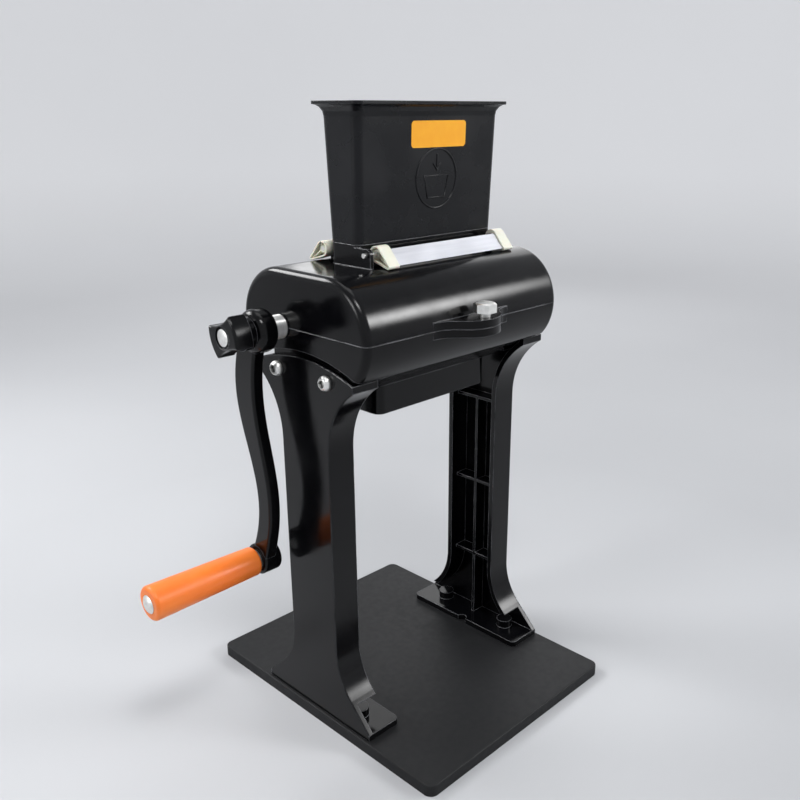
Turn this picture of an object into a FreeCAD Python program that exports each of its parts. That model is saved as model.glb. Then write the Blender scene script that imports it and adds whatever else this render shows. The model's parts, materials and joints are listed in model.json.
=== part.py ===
import FreeCAD, Part
import math
import os
import re
import Sketcher
from FreeCAD import Placement, Rotation, Vector

# Hand cranked meat tenderizer: two bladed rollers in a hinged housing on two cast legs.
# The rollers lie along X and the crank is at -X. The front is -Y and +Z is up. The origin is the
# middle of the underside of the base plate. Inside the housing, heights are given from the
# parting plane, which holds the axes of both rollers and of the cover hinge.

SIZES = {
    # base plate
    "base_length": 244,
    "base_depth": 300,
    "base_thickness": 11,
    "base_corner": 8,
    "base_edge": 1.5,
    # legs
    "leg_stand": 1,
    "leg_edge": 1,
    "leg_web": 5,
    "leg_wall": 5,
    "leg_flange": 27,
    "leg_waist": 61,
    "leg_top_width": 125,
    "leg_top_radius": 70,
    "leg_tip": 6,
    "leg_arch": 11.5,
    "leg_foot_radius": 60,
    "leg_rib": 3,
    "leg_rib_depth": 14,
    "leg_flange_cut": 26,
    "leg_rib_low": 77,
    "leg_rib_middle": 162,
    "leg_rib_high": 253,
    "foot_length": 37,
    "foot_depth": 143,
    "foot_thickness": 6,
    "foot_corner": 5,
    "foot_notch": 5,
    "foot_boss_height": 14,
    "foot_boss_radius": 8,
    "foot_screw_spacing": 84,
    "foot_screw_inset": 16,
    # fasteners
    "bolt_radius": 4,
    "bolt_head_radius": 6.5,
    "bolt_head_height": 5.5,
    "bolt_head_rim": 1.5,
    "bolt_head_crown": 4,
    "bolt_head_round": 5,
    "bolt_socket_flat": 6.4,
    "bolt_length": 24,
    "bolt_spacing": 63,
    "bolt_drop": 36.5,
    "countersink_radius": 8,
    "countersink_height": 4,
    "foot_screw_length": 22,
    "hole_clearance": 0.25,
    "drill_gap": 1,
    "cut_margin": 1,
    "merge_depth": 2,
    # housing, split at the height of the shafts
    "parting_height": 370,
    "housing_length": 236,
    "housing_depth": 157,
    "housing_round": 47,
    "housing_wall": 5,
    "housing_edge": 6,
    "belly_drop": 31,
    "end_arch": 14,
    "tip_gap": 2.5,
    "bearing_block": 25,
    "block_half_width": 42,
    "bearing_cap": 20,
    "mount_block_depth": 84,
    "mount_block_drop": 48,
    "partition": 6,
    "partition_gap": 4,
    "lower_rim": 14,
    # outlet chute under the rollers
    "feed_offset": 12,
    "funnel_drop": 55,
    "chute_inset": 6,
    "chute_depth": 50,
    "chute_drop": 81,
    "chute_corner": 8,
    "chute_edge": 1,
    # front lug and its lock screw
    "lug_half": 46,
    "lug_round": 30,
    "lug_reach": 23,
    "lug_thickness": 7,
    "screw_radius": 5,
    "screw_head_flat": 17,
    "screw_head_height": 8,
    "screw_chamfer": 1.6,
    "screw_stand": 4,
    "screw_tip": 6,
    "screw_inset": 9,
    "screw_clearance": 0.35,
    # rear hinge
    "hinge_reach": 6,
    "knuckle_radius": 5.5,
    "knuckle_length": 16,
    "knuckle_gap": 0.4,
    "hinge_spacing": 120,
    "hinge_pin_radius": 3,
    "hinge_pin_tip": 1,
    "pin_clearance": 0.06,
    # hopper and its collar on the cover
    "hopper_length": 164,
    "hopper_depth": 36,
    "hopper_top_length": 168,
    "hopper_top_depth": 43,
    "rim_length": 181,
    "rim_depth": 58,
    "hopper_height": 109,
    "flare_height": 11.5,
    "rim_lip": 2.5,
    "hopper_wall": 3,
    "hopper_corner": 7,
    "spigot_depth": 12,
    "spigot_clearance": 0.3,
    "collar_wall": 4,
    "collar_height": 17.5,
    "throat_length": 132,
    "throat_depth": 22,
    "ear_thickness": 3.5,
    # latches beside the hopper
    "rod_radius": 2,
    "rod_offset": 27,
    "rod_height": 57.5,
    "rod_overhang": 3,
    "ear_round": 5,
    "post_gap": 0.3,
    "latch_offset": 5.5,
    "latch_inset": 4.5,
    "latch_gap": 0.5,
    "latch_head": 6.6,
    "latch_tip": 1.8,
    "latch_reach": 17,
    "latch_angle": 32.5,
    "latch_end_length": 12,
    "latch_end_web": 3,
    "latch_end_recess": 1.5,
    "latch_rib": 1,
    "latch_skin": 1.4,
    "latch_plate_thickness": 1.5,
    # shafts and bearings
    "shaft_spacing": 50,
    "shaft_radius": 8,
    "hex_flat": 16.6,
    "running_clearance": 0.05,
    "bush_wall": 1.5,
    "bush_seat": 4,
    "shaft_end_gap": 1,
    "shaft_recess": 4,
    # rollers
    "blade_count": 12,
    "roller_margin": 104,
    "blade_thickness": 1.5,
    "blade_radius": 30,
    "blade_root": 24,
    "blade_teeth": 16,
    "spacer_radius": 13,
    "spacer_bore": 9.8,
    "spacer_end_gap": 0.5,
    # gears
    "gear_module": 2.5,
    "gear_teeth": 20,
    "gear_width": 12,
    "gear_gap": 2,
    "gear_backlash": 0.3,
    "gear_hub_radius": 15,
    "gear_hub_length": 4,
    # combs
    "comb_thickness": 3,
    "comb_spacer_gap": 0.8,
    "comb_slot": 3.6,
    "comb_top": 38,
    "comb_bar": 8,
    "comb_bottom": 34,
    "comb_tongue": 2.2,
    "comb_tongue_drop": 16,
    "comb_fit": 0.15,
    "comb_end_gap": 0.5,
    # crank
    "collar_radius": 10,
    "collar_length": 12.5,
    "collar_gap": 0.5,
    "collar_chamfer": 0.6,
    "crank_length": 208,
    "crank_angle": 3.7,
    "crank_thickness": 11.5,
    "crank_bow": 12.2,
    "crank_bow_start": 0.22,
    "crank_bow_span": 0.53,
    "crank_width": 21,
    "crank_width_change": 4,
    "crank_inset": 0.5,
    "crank_hub_radius": 18,
    "crank_hub_length": 20,
    "crank_hub_round": 7,
    "crank_end_radius": 14,
    "crank_end_length": 18,
    "crank_edge": 2,
    "knob_neck_radius": 13.5,
    "knob_neck_length": 8,
    "knob_head_length": 16,
    "knob_half_width": 18,
    "knob_end_half": 13.5,
    "knob_waist_half": 10.5,
    "knob_bow": 3,
    "knob_angle": 22,
    "knob_recess": 2,
    "knob_recess_radius": 9.2,
    "stud_radius": 7,
    "stud_length": 29,
    "stud_dome": 1.5,
    # grip
    "grip_length": 102.5,
    "grip_radius": 15,
    "grip_small_radius": 13,
    "grip_round": 3,
    "grip_washer_radius": 9,
    "grip_washer": 2,
    "grip_end_gap": 0.3,
    "spindle_radius": 5,
    "spindle_head_radius": 8,
    "spindle_head_height": 3,
    "spindle_stand": 1,
}

doc = FreeCAD.newDocument("MeatTenderizer")
sizes = doc.addObject("Spreadsheet::Sheet", "Sizes")
for row, (alias, number) in enumerate(SIZES.items(), start=1):
    sizes.set(f"A{row}", alias)
    sizes.set(f"B{row}", str(number))
    sizes.setAlias(f"B{row}", alias)
doc.recompute()

SUBPARTS = []


# ---------------------------------------------------------------- helpers

def value(expression):
    """Number that an expression of sheet aliases stands for."""
    return float(sizes.evalExpression(str(expression)))


def bound(expression):
    """The same expression, written so that another object can be bound to it."""
    def in_sheet(word):
        return "Sizes." + word.group() if word.group() in SIZES else word.group()
    return re.sub(r"[a-z][a-z0-9_]*", in_sheet, str(expression))


def bind(target, name, expression):
    target.setExpression(name, bound(expression))


def place(target, x="0", y="0", z="0", axis=None, angle="0"):
    """Put a finished sub-part where the sheet says, turned by an angle about one axis."""
    rotation = Rotation(axis, value(angle)) if axis else Rotation()
    target.Placement = Placement(Vector(value(x), value(y), value(z)), rotation)
    for name, expression in (("x", x), ("y", y), ("z", z)):
        bind(target, "Placement.Base." + name, expression)
    if axis:
        bind(target, "Placement.Rotation.Angle", angle)


def new_body(label, keep=True):
    body = doc.addObject("PartDesign::Body", label)
    body.Label = label
    if keep:
        SUBPARTS.append(body)
    return body


class Drawing:
    """Sketch on an origin plane of its body, with points and radii bound to the sheet."""

    def __init__(self, body, name, plane, offset="0"):
        self.body = body
        self.sketch = body.newObject("Sketcher::SketchObject", name)
        support = [item for item in body.Origin.OriginFeatures if item.Role == plane][0]
        self.sketch.AttachmentSupport = (support, [""])
        self.sketch.MapMode = "FlatFace"
        self.sketch.AttachmentOffset = Placement(Vector(0, 0, value(offset)), Rotation())
        bind(self.sketch, "AttachmentOffset.Base.z", offset)

    def constrain(self, kind, *where, expression):
        index = self.sketch.addConstraint(Sketcher.Constraint(kind, *where, value(expression)))
        name = f"size{index}"
        self.sketch.renameConstraint(index, name)
        bind(self.sketch, "Constraints." + name, expression)

    def circle(self, x, y, radius):
        centre = Vector(value(x), value(y), 0)
        circle = Part.Circle(centre, Vector(0, 0, 1), value(radius))
        index = self.sketch.addGeometry(circle, False)
        self.constrain("DistanceX", -1, 1, index, 3, expression=x)
        self.constrain("DistanceY", -1, 1, index, 3, expression=y)
        self.constrain("Radius", index, expression=radius)
        return self

    def path(self, *steps):
        """Closed outline. A step is (x, y) for a straight edge to that point, or (x, y, radius)
        for an arc to it, which turns left where the radius is positive and right where it is
        written with a leading minus sign."""
        points = [Vector(value(step[0]), value(step[1]), 0) for step in steps]
        first = self.sketch.GeometryCount
        ends = []
        for number, step in enumerate(steps):
            begin = points[number - 1]
            finish = points[number]
            index = first + number
            if len(step) == 2:
                self.sketch.addGeometry(Part.LineSegment(begin, finish), False)
                ends.append((1, 2))
                continue
            turns_left = not step[2].startswith("-")
            radius = value(step[2].lstrip("-"))
            chord = finish - begin
            height = math.sqrt(max(radius ** 2 - (chord.Length / 2) ** 2, 0))
            side = Vector(-chord.y, chord.x, 0).normalize() * (height if turns_left else -height)
            centre = (begin + finish) / 2 + side
            start, end = (begin, finish) if turns_left else (finish, begin)
            first_angle = math.atan2(start.y - centre.y, start.x - centre.x)
            last_angle = math.atan2(end.y - centre.y, end.x - centre.x)
            circle = Part.Circle(centre, Vector(0, 0, 1), radius)
            self.sketch.addGeometry(Part.ArcOfCircle(circle, first_angle, last_angle), False)
            ends.append((1, 2) if turns_left else (2, 1))
        for number, step in enumerate(steps):
            index = first + number
            following = (number + 1) % len(steps)
            link = (index, ends[number][1], first + following, ends[following][0])
            self.sketch.addConstraint(Sketcher.Constraint("Coincident", *link))
            self.constrain("DistanceX", -1, 1, index, ends[number][1], expression=step[0])
            self.constrain("DistanceY", -1, 1, index, ends[number][1], expression=step[1])
            if len(step) == 3:
                self.constrain("Radius", index, expression=step[2].lstrip("-"))
        return self

    def box(self, left, bottom, right, top):
        return self.path((right, bottom), (right, top), (left, top), (left, bottom))

    def rounded_box(self, left, bottom, right, top, corner_radius):
        corner = f"({corner_radius})"
        return self.path(
            (f"{right} - {corner}", bottom), (right, f"{bottom} + {corner}", corner),
            (right, f"{top} - {corner}"), (f"{right} - {corner}", top, corner),
            (f"{left} + {corner}", top), (left, f"{top} - {corner}", corner),
            (left, f"{bottom} + {corner}"), (f"{left} + {corner}", bottom, corner))

    def feature(self, kind, length, centred=False, reverse=False):
        before = self.body.Shape.Volume if self.body.Tip else 0
        made = self.body.newObject(kind, self.sketch.Name + "_" + kind.split("::")[1])
        made.Profile = self.sketch
        made.Midplane = centred
        made.Reversed = reverse
        bind(made, "Length", length)
        doc.recompute()
        grown = self.body.Shape.Volume - before
        wanted = 1 if kind.endswith("Pad") else -1
        if grown * wanted <= 0:
            raise ValueError(f"{self.body.Label}: {made.Name} changes the volume by {grown}")
        return made

    def pad(self, length, **options):
        return self.feature("PartDesign::Pad", length, **options)

    def pocket(self, length, **options):
        return self.feature("PartDesign::Pocket", length, **options)

    def revolve(self, axis="H_Axis"):
        made = self.body.newObject("PartDesign::Revolution", self.sketch.Name + "_turned")
        made.Profile = self.sketch
        made.ReferenceAxis = (self.sketch, [axis])
        made.Angle = 360
        doc.recompute()
        return made


def round_edges(body, name, radius, chosen):
    """Fillet on the edges of the body for which chosen(edge) is true."""
    doc.recompute()
    tip = body.Tip
    names = [f"Edge{number}" for number, edge in enumerate(tip.Shape.Edges, start=1) if chosen(edge)]
    if not names:
        raise ValueError(f"{body.Label}: no edge for {name}")
    fillet = body.newObject("PartDesign::Fillet", name)
    fillet.Base = (tip, names)
    bind(fillet, "Radius", radius)
    doc.recompute()
    return fillet


def near(first, second, slack=0.01):
    return abs(first - second) < slack


def group(label, source, positions):
    """One node of equal loose pieces: copies of a source shape at each placement."""
    doc.recompute()
    shape = source.Shape
    copies = []
    for position in positions:
        copy = shape.copy()
        copy.Placement = position.multiply(shape.Placement)
        copies.append(copy)
    node = doc.addObject("Part::Feature", label)
    node.Label = label
    node.Shape = Part.makeCompound(copies)
    SUBPARTS.append(node)
    return node


def coded(label, shape):
    """A sub-part whose shape is worked out in code from the sheet."""
    node = doc.addObject("Part::Feature", label)
    node.Label = label
    node.Shape = shape
    SUBPARTS.append(node)
    return node


def turned_about_z(degrees):
    return Rotation(Vector(0, 0, 1), degrees)


# ---------------------------------------------------------------- base plate and legs

# Distance of the outer face of each leg from the middle: the legs follow the housing's ends.
LEG_FACE = "(housing_length / 2 + leg_stand)"


def make_base_plate():
    body = new_body("base_plate")
    outline = Drawing(body, "base_outline", "XY_Plane")
    outline.rounded_box("-base_length / 2", "-base_depth / 2", "base_length / 2", "base_depth / 2",
                        "base_corner")
    outline.pad("base_thickness")
    top = value("base_thickness")
    round_edges(body, "base_top_edge", "base_edge",
                lambda edge: near(edge.BoundBox.ZMin, top) and near(edge.BoundBox.ZMax, top))
    holes = Drawing(body, "base_holes", "XY_Plane")
    sinks = Drawing(body, "base_sinks", "XY_Plane")
    for x, y in foot_screw_places():
        holes.circle(x, y, "bolt_radius + hole_clearance")
        sinks.circle(x, y, "countersink_radius + hole_clearance")
    holes.pocket("base_thickness", reverse=True)
    sinks.pocket("countersink_height", reverse=True)


def foot_screw_places():
    along = f"{LEG_FACE} - foot_screw_inset"
    across = "foot_screw_spacing / 2"
    return [(sign_x + along_term, sign_y + across)
            for sign_x, along_term in (("-", f"({along})"), ("", f"({along})"))
            for sign_y in ("-", "")]


def leg_outline(inset):
    """Side outline of a leg, from its foot to its tips, moved inward by a wall."""
    waist = f"(leg_waist / 2 - {inset})"
    foot = "(foot_depth / 2)"
    low_radius = f"(leg_foot_radius + {inset})"
    high_radius = f"(leg_top_radius + {inset})"
    spread = f"({foot} - leg_waist / 2 - leg_foot_radius * (1 - cos(45)))"
    low_tangent = f"(foot_thickness + leg_foot_radius * sin(45) + {spread})"
    arc_y = f"({waist} + {low_radius} * (1 - cos(45)))"
    arc_z = f"({low_tangent} - {low_radius} * sin(45))"
    tip = f"(leg_top_width / 2 - {inset})"
    tip_height = "(parting_height - base_thickness - belly_drop - tip_gap)"
    reach = "(leg_top_width / 2 - leg_waist / 2)"
    high_centre = (f"({tip_height} - leg_tip - sqrt(leg_top_radius^2"
                   f" - (leg_top_radius - {reach})^2))")
    high_z = (f"({high_centre} + sqrt({high_radius}^2"
              f" - (leg_top_radius + leg_waist / 2 - {tip})^2))")
    return {"waist": waist, "foot": foot, "low_radius": low_radius, "high_radius": high_radius,
            "low_tangent": low_tangent, "arc_y": arc_y, "arc_z": arc_z, "tip": tip,
            "tip_height": tip_height, "high_centre": high_centre, "high_z": high_z}


def make_leg(label, angle):
    body = new_body(label)
    outer = leg_outline("0")
    arch_radius = "(((leg_top_width / 2)^2 + leg_arch^2) / (2 * leg_arch))"
    profile = Drawing(body, label + "_outline", "YZ_Plane")
    profile.path(
        (outer["foot"], "0"), (outer["foot"], "foot_thickness"),
        (outer["arc_y"], outer["arc_z"]),
        (outer["waist"], outer["low_tangent"], "-" + outer["low_radius"]),
        (outer["waist"], outer["high_centre"]),
        (outer["tip"], outer["high_z"], "-" + outer["high_radius"]),
        (outer["tip"], outer["tip_height"]),
        ("-" + outer["tip"], outer["tip_height"], arch_radius),
        ("-" + outer["tip"], outer["high_z"]),
        ("-" + outer["waist"], outer["high_centre"], "-" + outer["high_radius"]),
        ("-" + outer["waist"], outer["low_tangent"]),
        ("-" + outer["arc_y"], outer["arc_z"], "-" + outer["low_radius"]),
        ("-" + outer["foot"], "foot_thickness"), ("-" + outer["foot"], "0"))
    profile.pad("leg_flange")
    round_edges(body, label + "_face_edge", "leg_edge",
                lambda edge: near(edge.BoundBox.XMax, 0) and edge.BoundBox.ZMax > 0.01)

    inner = leg_outline("leg_wall")
    floor_y = f"({inner['arc_y']} + {inner['arc_z']} - foot_thickness)"
    above = "(parting_height - base_thickness)"
    channel = Drawing(body, label + "_channel", "YZ_Plane", "leg_web")
    channel.path(
        (floor_y, "foot_thickness"), (inner["arc_y"], inner["arc_z"]),
        (inner["waist"], inner["low_tangent"], "-" + inner["low_radius"]),
        (inner["waist"], inner["high_centre"]),
        (inner["tip"], inner["high_z"], "-" + inner["high_radius"]),
        (inner["tip"], above), ("-" + inner["tip"], above),
        ("-" + inner["tip"], inner["high_z"]),
        ("-" + inner["waist"], inner["high_centre"], "-" + inner["high_radius"]),
        ("-" + inner["waist"], inner["low_tangent"]),
        ("-" + inner["arc_y"], inner["arc_z"], "-" + inner["low_radius"]),
        ("-" + floor_y, "foot_thickness"))
    channel.pocket("leg_flange", reverse=True)

    flange_cut = Drawing(body, label + "_flange_cut", "YZ_Plane", "leg_web")
    for side in ("", "-"):
        edge = f"{side}(foot_depth / 2 + cut_margin)"
        start = f"{side}(leg_waist / 2 + cut_margin)"
        flange_cut.box(start, "foot_thickness", edge, "leg_flange_cut")
    flange_cut.pocket("leg_flange", reverse=True)

    foot = Drawing(body, label + "_foot", "XY_Plane")
    foot.path(
        ("foot_length - foot_corner", "-foot_depth / 2"),
        ("foot_length", "-foot_depth / 2 + foot_corner", "foot_corner"),
        ("foot_length", "foot_depth / 2 - foot_corner"),
        ("foot_length - foot_corner", "foot_depth / 2", "foot_corner"),
        ("0", "foot_depth / 2"), ("0", "-foot_depth / 2"))
    foot.pad("foot_thickness")
    notch = Drawing(body, label + "_notch", "XY_Plane")
    notch.circle("foot_length", "0", "foot_notch")
    notch.pocket("foot_thickness", reverse=True)

    stem = Drawing(body, label + "_stem", "XY_Plane", "foot_thickness / 2")
    stem.box("leg_web / 2", "-leg_rib / 2", "leg_web + leg_rib_depth", "leg_rib / 2")
    stem.pad("leg_rib_high - foot_thickness / 2")
    ribs = Drawing(body, label + "_ribs", "YZ_Plane", "leg_web / 2")
    half = "(leg_waist / 2 - leg_wall / 2)"
    for height in ("leg_rib_low", "leg_rib_middle", "leg_rib_high"):
        ribs.box("-" + half, f"{height} - leg_rib / 2", half, f"{height} + leg_rib / 2")
    ribs.pad("leg_web / 2 + leg_rib_depth")
    bosses = Drawing(body, label + "_bosses", "XY_Plane", "foot_thickness / 2")
    for side in ("-", ""):
        bosses.circle("foot_screw_inset", f"{side}foot_screw_spacing / 2", "foot_boss_radius")
    bosses.pad("foot_boss_height - foot_thickness / 2")

    taps = Drawing(body, label + "_taps", "XY_Plane")
    for side in ("-", ""):
        taps.circle("foot_screw_inset", f"{side}foot_screw_spacing / 2", "bolt_radius")
    taps.pocket("foot_screw_length - base_thickness + drill_gap", reverse=True)
    bolts = Drawing(body, label + "_bolt_holes", "YZ_Plane")
    for side in ("-", ""):
        bolts.circle(f"{side}bolt_spacing / 2", "parting_height - base_thickness - bolt_drop",
                     "bolt_radius + hole_clearance")
    bolts.pocket("leg_web", reverse=True)
    side = "-" if angle == "0" else ""
    place(body, side + LEG_FACE, "0", "base_thickness", Vector(0, 0, 1), angle)


def make_foot_screws():
    screw = new_body("foot_screw", keep=False)
    profile = Drawing(screw, "foot_screw_profile", "XZ_Plane")
    profile.path(
        ("countersink_radius", "0"), ("bolt_radius", "countersink_height"),
        ("bolt_radius", "foot_screw_length"), ("0", "foot_screw_length"), ("0", "0"))
    profile.revolve("V_Axis")
    spots = [Placement(Vector(value(x), value(y), 0), Rotation()) for x, y in foot_screw_places()]
    group("foot_screws", screw, spots)


def make_leg_bolts():
    """Button head bolts that hold each leg to the mounting blocks of the lower housing."""
    bolt = new_body("leg_bolt", keep=False)
    Drawing(bolt, "leg_bolt_shank", "YZ_Plane").circle("0", "0", "bolt_radius").pad("bolt_length")
    profile = Drawing(bolt, "leg_bolt_head", "XZ_Plane")
    profile.path(
        ("0", "bolt_head_radius"), ("-bolt_head_rim", "bolt_head_radius"),
        ("-bolt_head_height", "bolt_head_crown", "bolt_head_round"), ("-bolt_head_height", "0"),
        ("0", "0"))
    profile.revolve("H_Axis")
    hexagon = Drawing(bolt, "leg_bolt_socket", "YZ_Plane", "-bolt_head_height")
    hexagon.path(*hexagon_points("bolt_socket_flat / 2"))
    hexagon.pocket("bolt_head_height / 2", reverse=True)
    outer = value(LEG_FACE)
    height = value("parting_height - bolt_drop")
    spots = []
    for side, turn in ((-1, 0), (1, 180)):
        for across in (-value("bolt_spacing / 2"), value("bolt_spacing / 2")):
            spots.append(Placement(Vector(side * outer, across, height), turned_about_z(turn)))
    group("leg_bolts", bolt, spots)


def hexagon_points(flat_radius):
    corner = f"(({flat_radius}) / cos(30))"
    return [(f"{corner} * cos({60 * step})", f"{corner} * sin({60 * step})") for step in range(6)]


# ---------------------------------------------------------------- housing

HALF_LENGTH = "(housing_length / 2)"
HALF_DEPTH = "(housing_depth / 2)"
ARC_CENTRE = "(housing_depth / 2 - housing_round)"
INNER_ROUND = "(housing_round - housing_wall)"
INNER_HALF = "(housing_depth / 2 - housing_wall)"
BELLY = f"({ARC_CENTRE} + sqrt(housing_round^2 - belly_drop^2))"
BLOCK_FACE = "(housing_length / 2 - housing_wall - bearing_block)"
FUNNEL_END = f"({BLOCK_FACE} - housing_wall)"
BLADE_PITCH = "((housing_length - roller_margin) / blade_count)"
ZONE_LEFT = f"(feed_offset - blade_count * {BLADE_PITCH} / 2)"
CHUTE_HALF = f"({BLOCK_FACE} - chute_inset - feed_offset)"
PARTITION_RIGHT = f"({ZONE_LEFT} - partition_gap)"
PARTITION_LEFT = f"({PARTITION_RIGHT} - partition)"
BUSH_RADIUS = "(shaft_radius + bush_wall)"
DRIVE_Y = "(shaft_spacing / 2)"
DRIVEN_Y = "(-shaft_spacing / 2)"
BLIND_END = "(housing_length / 2 - housing_wall - bush_seat)"
HINGE_Y = "(housing_depth / 2 + hinge_reach)"
SCREW_Y = "(-housing_depth / 2 - lug_reach + screw_inset)"
COMB_Y = "(shaft_spacing / 2 - spacer_radius - comb_spacer_gap - comb_thickness / 2)"
HALF_HOPPER = "(hopper_length / 2)"

# Each latch is moved along the hopper, toward the end of its rod that has no outer ear.
LATCH_HALF = f"({HALF_HOPPER} - latch_inset)"
ROD_REACH = f"(latch_offset + {LATCH_HALF} - latch_end_recess)"
EAR_FOOT = "(housing_round - housing_wall / 2)"
POST_ROUND = "(latch_head - latch_skin - latch_plate_thickness - post_gap)"
POST_REAR = f"(feed_offset - latch_offset - {LATCH_HALF} + latch_end_length + latch_gap)"
POST_FRONT = (f"(feed_offset + latch_offset + {LATCH_HALF} - latch_end_length - latch_gap"
              " - ear_thickness)")


def round_housing_ends(body):
    """Soft edge where the barrel of the housing meets its flat ends."""
    end = value(HALF_LENGTH)
    round_edges(body, body.Label + "_end_edges", "housing_edge",
                lambda edge: near(abs(edge.BoundBox.XMin), end) and near(edge.BoundBox.XLength, 0)
                and is_barrel_edge(edge))


def is_barrel_edge(edge):
    """True on the barrel's own outline, false on the parting plane and the arch below it."""
    box = edge.BoundBox
    reach = value(HALF_DEPTH)
    if box.ZLength < 0.01:
        return box.ZMin > 1
    return near(max(abs(box.YMin), abs(box.YMax)), reach)


def lug_path(drawing):
    """Bow of the front lug, blended into the front of the housing by two hollow arcs."""
    front = "(-housing_depth / 2)"
    blend = "((lug_half^2 + (lug_round - lug_reach)^2 - lug_round^2) / (2 * lug_reach))"
    share = f"(lug_round / (lug_round + {blend}))"
    centre = f"({front} - lug_reach + lug_round)"
    tangent_x = f"(lug_half * {share})"
    tangent_y = f"({centre} + ({front} - {blend} - {centre}) * {share})"
    inside = f"({front} + housing_wall / 2)"
    drawing.path(
        ("-lug_half", inside), ("-lug_half", front),
        ("-" + tangent_x, tangent_y, f"-{blend}"), (tangent_x, tangent_y, "lug_round"),
        ("lug_half", front, f"-{blend}"), ("lug_half", inside))
    return drawing


def hinge_knuckles(body, starts, upward):
    """Barrels on the hinge axis with the web that carries each of them."""
    web_in = f"({HALF_DEPTH} - housing_wall * 0.8)"
    low, high = ("0", "knuckle_radius") if upward else ("-knuckle_radius", "0")
    for number, start in enumerate(starts):
        web = Drawing(body, f"{body.Label}_web{number}", "YZ_Plane", start)
        web.box(web_in, low, HINGE_Y, high).pad("knuckle_length")
        barrel = Drawing(body, f"{body.Label}_knuckle{number}", "YZ_Plane", start)
        barrel.circle(HINGE_Y, "0", "knuckle_radius").pad("knuckle_length")


# Bearings of the two shafts: only the drive shaft runs out, through the crank end.
BEARINGS = (
    ("crank_end", f"-{HALF_LENGTH}", f"{HALF_LENGTH} - {BLOCK_FACE}", (DRIVE_Y,)),
    ("blind_end", f"-{BLIND_END}", f"{BLIND_END} - {BLOCK_FACE}", (DRIVEN_Y,)),
    ("far_end", BLOCK_FACE, f"{BLIND_END} - {BLOCK_FACE}", (DRIVE_Y, DRIVEN_Y)),
    ("partition", PARTITION_LEFT, "partition", (DRIVE_Y, DRIVEN_Y)),
)


def shaft_bores(body, radius):
    for name, start, length, places in BEARINGS:
        bore = Drawing(body, f"{body.Label}_{name}_bore", "YZ_Plane", start)
        for across in places:
            bore.circle(across, "0", radius)
        bore.pocket(length, reverse=True)


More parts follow.
